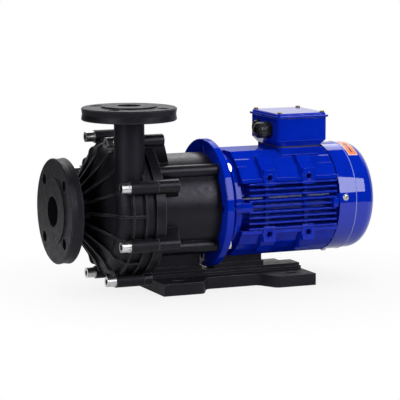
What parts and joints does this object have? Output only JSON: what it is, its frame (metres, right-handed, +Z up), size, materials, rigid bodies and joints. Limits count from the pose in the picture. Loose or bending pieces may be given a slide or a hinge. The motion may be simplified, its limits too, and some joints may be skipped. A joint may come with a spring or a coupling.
{
  "type": "magnetic drive pump",
  "caption": "Sealless centrifugal pump with a ribbed black plastic casing, flanged suction and discharge, and a finned blue flange motor on a low base, driven by a magnetic coupling.",
  "frame": {"origin": "on the floor at the middle of the four base slots", "axes": "+X along the shaft from the suction flange to the fan cowl, +Y across, +Z up"},
  "size_m": [0.5145, 0.2605, 0.2945],
  "materials": {
    "casing_plastic": "moulded glass-filled plastic, black, satin",
    "base_plastic": "moulded plastic, black, satin",
    "stainless": "plain stainless fasteners",
    "zinc": "bright zinc plated steel",
    "blue_paint": "gloss royal blue enamel on cast aluminium",
    "blue_cowl": "gloss royal blue enamel on steel sheet",
    "steel": "machined steel",
    "electrical_steel": "laminated core",
    "magnet": "sintered magnet",
    "ceramic": "polished alumina ceramic",
    "carbon": "machined carbon",
    "rubber": "black moulded rubber",
    "gasket_grey": "grey sheet gasket",
    "copper": "enamelled copper winding",
    "cast_aluminium": "die-cast aluminium",
    "brass": "plain brass",
    "gland_plastic": "black polyamide"
  },
  "bodies": {
    "pump_frame": {"base_plate": "base_plastic", "motor_saddle": "base_plastic", "foot_screws": "stainless", "bracket": "casing_plastic", "front_casing": "casing_plastic", "mouth_ring": "ceramic", "spindle_support": "casing_plastic", "spindle": "ceramic", "front_thrust_ring": "ceramic", "rear_thrust_ring": "ceramic", "rear_casing": "casing_plastic", "casing_o_ring": "rubber", "casing_bolts": "stainless", "casing_spring_washers": "stainless", "casing_washers": "stainless", "front_bearing_outer": "steel", "rear_bearing_outer": "steel", "shaft_seal": "rubber", "motor_flange_shield": "blue_paint", "flange_bolts": "zinc", "flange_washers": "zinc", "front_shield_bolts": "zinc", "stator_frame": "blue_paint", "stator_core": "electrical_steel", "stator_windings": "copper", "rear_end_shield": "blue_paint", "rear_shield_bolts": "zinc", "fan_cowl": "blue_cowl", "cowl_screws": "zinc", "box_gasket": "gasket_grey", "terminal_box": "blue_paint", "lid_gasket": "rubber", "terminal_box_lid": "blue_paint", "lid_screws": "brass", "terminal_block": "gland_plastic", "terminal_studs": "brass", "gland_body": "gland_plastic", "gland_nut": "gland_plastic", "gland_seal": "rubber", "gland_locknut": "gland_plastic", "blanking_plug": "gland_plastic"},
    "motor_rotor": {"drive_yoke": "steel", "drive_magnets": "magnet", "drive_key": "steel", "yoke_set_screw": "steel", "motor_shaft": "steel", "rotor_core": "electrical_steel", "rotor_end_rings": "cast_aluminium", "cooling_fan": "gland_plastic", "fan_clip": "steel", "front_bearing_inner": "steel", "rear_bearing_inner": "steel"},
    "impeller_rotor": {"impeller": "casing_plastic", "impeller_bush": "carbon", "magnet_capsule": "casing_plastic", "inner_yoke": "steel", "inner_magnets": "magnet", "capsule_cap": "casing_plastic"}
  },
  "joints": [
    {"name": "motor_spin", "type": "hinge", "parent": "pump_frame", "child": "motor_rotor", "pos_m": [0.08, 0, 0.13], "axis": [1, 0, 0], "continuous": true},
    {"name": "impeller_spin", "type": "hinge", "parent": "pump_frame", "child": "impeller_rotor", "pos_m": [-0.16, 0, 0.13], "axis": [1, 0, 0], "continuous": true}
  ],
  "couplings": [
    {"joint": "impeller_spin", "follows": "motor_spin", "ratio": 1}
  ]
}
